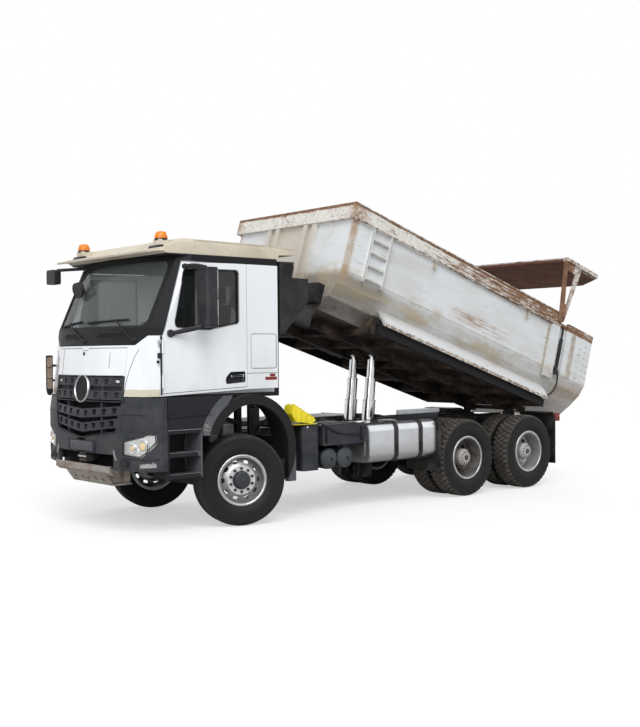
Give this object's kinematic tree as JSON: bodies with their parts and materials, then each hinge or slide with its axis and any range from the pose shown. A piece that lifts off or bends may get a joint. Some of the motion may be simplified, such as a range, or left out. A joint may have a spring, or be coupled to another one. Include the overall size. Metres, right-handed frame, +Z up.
{
  "type": "dump truck",
  "caption": "Heavy tipper truck with a half-pipe dump body raised on hydraulic rams, a lifted tailgate, hinged cab doors, a lifting front flap and steered front wheels.",
  "frame": {"origin": "middle of the whole truck's bounding box, on the ground", "axes": "+X forward out of the cab's front, +Y to the driver's left, +Z up"},
  "size_m": [8.6318, 2.94, 3.9508],
  "materials": {
    "white_paint": "gloss",
    "body_white": "worn satin with scratches and rust",
    "rusty_steel": "rusty with flaking white paint",
    "roof_beige": "faded matte",
    "dark_plastic": "matte",
    "frame_black": "satin, dusty",
    "black_plastic": "matte",
    "tank_aluminium": "brushed",
    "worn_steel": "worn bare metal with rust",
    "lamp_glass": "clear",
    "lamp_red": "gloss",
    "window_glass": "clear, slightly grey",
    "cabin_grey": "matte",
    "safety_yellow": "matte",
    "tyre_rubber": "matte",
    "rim_silver": "satin",
    "hub_grey": "satin",
    "hoist_chrome": "polished"
  },
  "bodies": {
    "chassis": {"frame": "frame_black", "front_mirrors": "black_plastic", "tow_jaw": "frame_black", "front_axle": "frame_black", "middle_axle": "frame_black", "rear_axle": "frame_black", "springs": "frame_black", "drivetrain": "hub_grey", "fuel_tank": "tank_aluminium", "air_tanks": "frame_black", "side_boxes": "dark_plastic", "air_intake": "black_plastic", "bumper": "dark_plastic", "headlamps": "lamp_glass", "skid_plate": "worn_steel", "front_mudguards": "dark_plastic", "rear_mudguards": "black_plastic", "rear_lamps": "lamp_red", "wheel_chocks": "safety_yellow", "cab_shell": "white_paint", "cab_roof": "roof_beige", "cab_glass": "window_glass", "cab_interior": "cabin_grey"},
    "bed": {"bed_shell": "body_white", "bed_rim": "rusty_steel", "bed_frame": "frame_black", "bed_front_blocks": "frame_black", "gate_rams": "frame_black"},
    "gate": {"gate_plate": "rusty_steel", "gate_arms": "rusty_steel"},
    "hoist_barrel": {"hoist_barrels": "frame_black"},
    "hoist_first": {"hoist_stage_one": "hoist_chrome"},
    "hoist_second": {"hoist_stage_two": "hoist_chrome"},
    "hoist_rod": {"hoist_rods": "hoist_chrome"},
    "flap": {"front_flap": "white_paint"},
    "left_door": {"door_left": "white_paint", "door_glass_left": "window_glass", "mirror_left": "dark_plastic"},
    "right_door": {"door_right": "white_paint", "door_glass_right": "window_glass", "mirror_right": "dark_plastic"},
    "left_knuckle": {"knuckle_left": "frame_black"},
    "right_knuckle": {"knuckle_right": "frame_black"},
    "front_left_wheel": {"tyre_front_left": "tyre_rubber", "rim_front_left": "rim_silver"},
    "front_right_wheel": {"tyre_front_right": "tyre_rubber", "rim_front_right": "rim_silver"},
    "middle_left_wheels": {"tyres_middle_left": "tyre_rubber", "rims_middle_left": "rim_silver"},
    "middle_right_wheels": {"tyres_middle_right": "tyre_rubber", "rims_middle_right": "rim_silver"},
    "rear_left_wheels": {"tyres_rear_left": "tyre_rubber", "rims_rear_left": "rim_silver"},
    "rear_right_wheels": {"tyres_rear_right": "tyre_rubber", "rims_rear_right": "rim_silver"}
  },
  "joints": [
    {"name": "bed_tip", "type": "hinge", "parent": "chassis", "child": "bed", "pos_m": [-2.90241, 0, 1.13599], "axis": [0, -1, 0], "range_deg": [-17.66, 27.34]},
    {"name": "gate_lift", "type": "hinge", "parent": "bed", "child": "gate", "pos_m": [-3.13352, 0, 2.52116], "axis": [0, -1, 0], "range_deg": [0, 90]},
    {"name": "hoist_tilt", "type": "hinge", "parent": "chassis", "child": "hoist_barrel", "pos_m": [-0.0641, 0, 0.86], "axis": [0, -1, 0], "range_deg": [-9, 13.9]},
    {"name": "hoist_one_slide", "type": "slide", "parent": "hoist_barrel", "child": "hoist_first", "axis": [-0.1031, 0, 0.9947], "range_m": [-0.283, 0.438]},
    {"name": "hoist_two_slide", "type": "slide", "parent": "hoist_first", "child": "hoist_second", "axis": [-0.1031, 0, 0.9947], "range_m": [-0.283, 0.438]},
    {"name": "hoist_rod_slide", "type": "slide", "parent": "hoist_second", "child": "hoist_rod", "axis": [-0.1031, 0, 0.9947], "range_m": [-0.283, 0.438]},
    {"name": "flap_lift", "type": "hinge", "parent": "chassis", "child": "flap", "pos_m": [4.2339, 0, 2.092], "axis": [0, -1, 0], "range_deg": [0, 65]},
    {"name": "left_door_swing", "type": "hinge", "parent": "chassis", "child": "left_door", "pos_m": [3.9139, 1.152, 2.3], "axis": [0, 0, -1], "range_deg": [0, 75]},
    {"name": "right_door_swing", "type": "hinge", "parent": "chassis", "child": "right_door", "pos_m": [3.9139, -1.152, 2.3], "axis": [0, 0, 1], "range_deg": [0, 75]},
    {"name": "left_steer", "type": "hinge", "parent": "chassis", "child": "left_knuckle", "pos_m": [2.7659, 0.93, 0.54], "axis": [0, 0, 1], "range_deg": [-18, 54]},
    {"name": "right_steer", "type": "hinge", "parent": "chassis", "child": "right_knuckle", "pos_m": [2.7659, -0.93, 0.54], "axis": [0, 0, 1], "range_deg": [-18, 54]},
    {"name": "front_left_spin", "type": "hinge", "parent": "left_knuckle", "child": "front_left_wheel", "pos_m": [2.7968, 1.02511, 0.54], "axis": [0.309, 0.9511, 0], "continuous": true},
    {"name": "front_right_spin", "type": "hinge", "parent": "right_knuckle", "child": "front_right_wheel", "pos_m": [2.735, -1.02511, 0.54], "axis": [0.309, 0.9511, 0], "continuous": true},
    {"name": "middle_left_spin", "type": "hinge", "parent": "chassis", "child": "middle_left_wheels", "pos_m": [-1.0341, 0.917, 0.54], "axis": [0, 1, 0], "continuous": true},
    {"name": "middle_right_spin", "type": "hinge", "parent": "chassis", "child": "middle_right_wheels", "pos_m": [-1.0341, -0.917, 0.54], "axis": [0, 1, 0], "continuous": true},
    {"name": "rear_left_spin", "type": "hinge", "parent": "chassis", "child": "rear_left_wheels", "pos_m": [-2.3841, 0.917, 0.54], "axis": [0, 1, 0], "continuous": true},
    {"name": "rear_right_spin", "type": "hinge", "parent": "chassis", "child": "rear_right_wheels", "pos_m": [-2.3841, -0.917, 0.54], "axis": [0, 1, 0], "continuous": true}
  ],
  "couplings": [
    {"joint": "hoist_tilt", "follows": "bed_tip", "ratio": 0.503},
    {"joint": "hoist_one_slide", "follows": "bed_tip", "m_per_rad": 0.9167},
    {"joint": "hoist_two_slide", "follows": "bed_tip", "m_per_rad": 0.9167},
    {"joint": "hoist_rod_slide", "follows": "bed_tip", "m_per_rad": 0.9167},
    {"joint": "right_steer", "follows": "left_steer", "ratio": 1}
  ]
}
